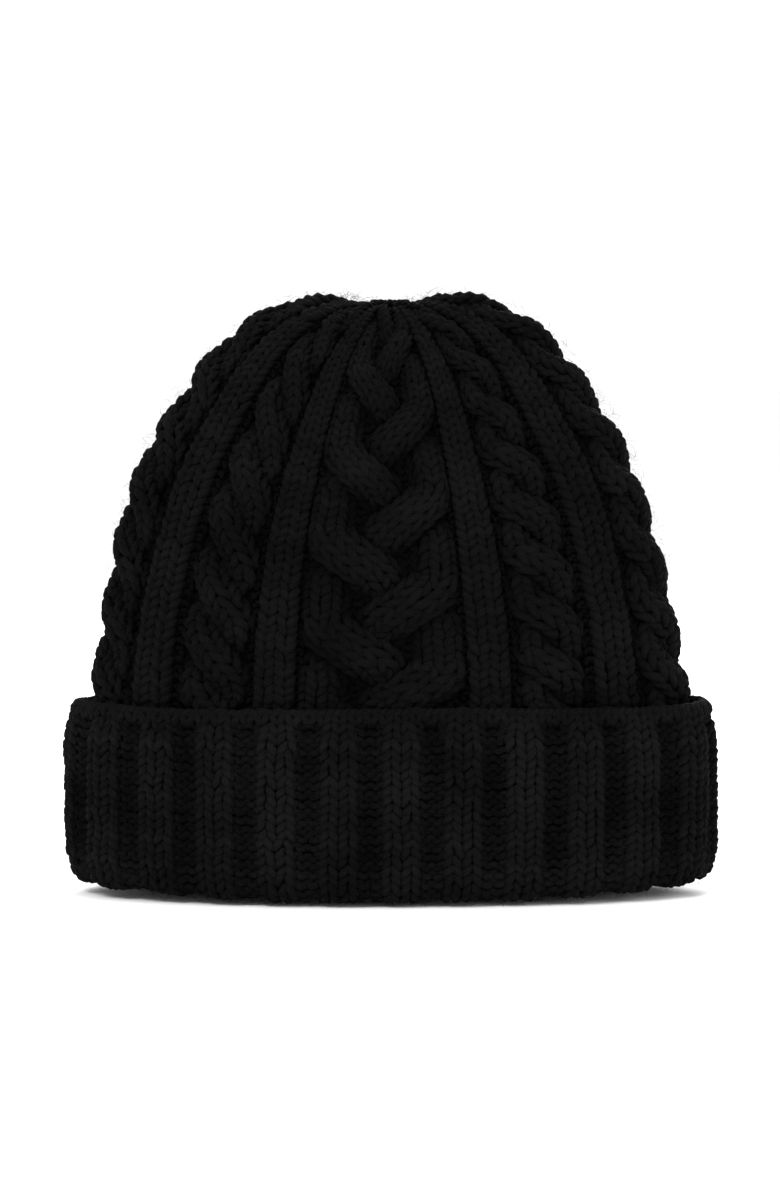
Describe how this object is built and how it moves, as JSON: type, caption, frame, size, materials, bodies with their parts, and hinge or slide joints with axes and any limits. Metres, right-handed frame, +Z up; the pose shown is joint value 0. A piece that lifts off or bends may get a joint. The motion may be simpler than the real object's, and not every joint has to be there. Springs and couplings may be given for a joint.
{
  "type": "knit beanie",
  "caption": "Cable-knit winter beanie with braids, ropes and ribs, a gathered crown and a turned-up ribbed cuff.",
  "frame": {"origin": "centre of the oval that the turned-up edge stands on, at the bottom of the hat", "axes": "+Z up the hat's axis to the gathered crown, +X along the hat's width to the right as seen from the front, -Y out of the front"},
  "size_m": [0.225, 0.092, 0.211],
  "materials": {
    "cable_knit": "black wool blend, matt, slightly hairy",
    "ground_knit": "black wool blend, matt",
    "rib_knit": "black wool blend rib, matt, slightly hairy",
    "yarn": "black plied yarn, matt",
    "label": "plain black woven tape, blank"
  },
  "bodies": {
    "hat": {"crown_shell": "ground_knit", "inner_band": "rib_knit", "crown_gather": "yarn", "crown_knot": "yarn", "back_seam": "yarn", "care_label": "label", "label_stitches": "yarn", "front_braid": "cable_knit", "front_left_rib_near": "cable_knit", "front_left_rope": "cable_knit", "front_left_rib_far": "cable_knit", "front_left_edge_rope": "cable_knit", "front_right_rib_near": "cable_knit", "front_right_rope": "cable_knit", "front_right_rib_far": "cable_knit", "front_right_edge_rope": "cable_knit", "back_braid": "cable_knit", "back_left_rib_near": "cable_knit", "back_left_rope": "cable_knit", "back_left_rib_far": "cable_knit", "back_left_edge_rope": "cable_knit", "back_right_rib_near": "cable_knit", "back_right_rope": "cable_knit", "back_right_rib_far": "cable_knit", "back_right_edge_rope": "cable_knit"},
    "cuff": {"cuff_band": "rib_knit", "cuff_fold": "rib_knit", "cuff_edge": "rib_knit"}
  },
  "joints": [
    {"name": "cuff_turn_down", "type": "slide", "parent": "cuff", "child": "hat", "axis": [0, 0, 1], "range_m": [0, 0.055]}
  ]
}
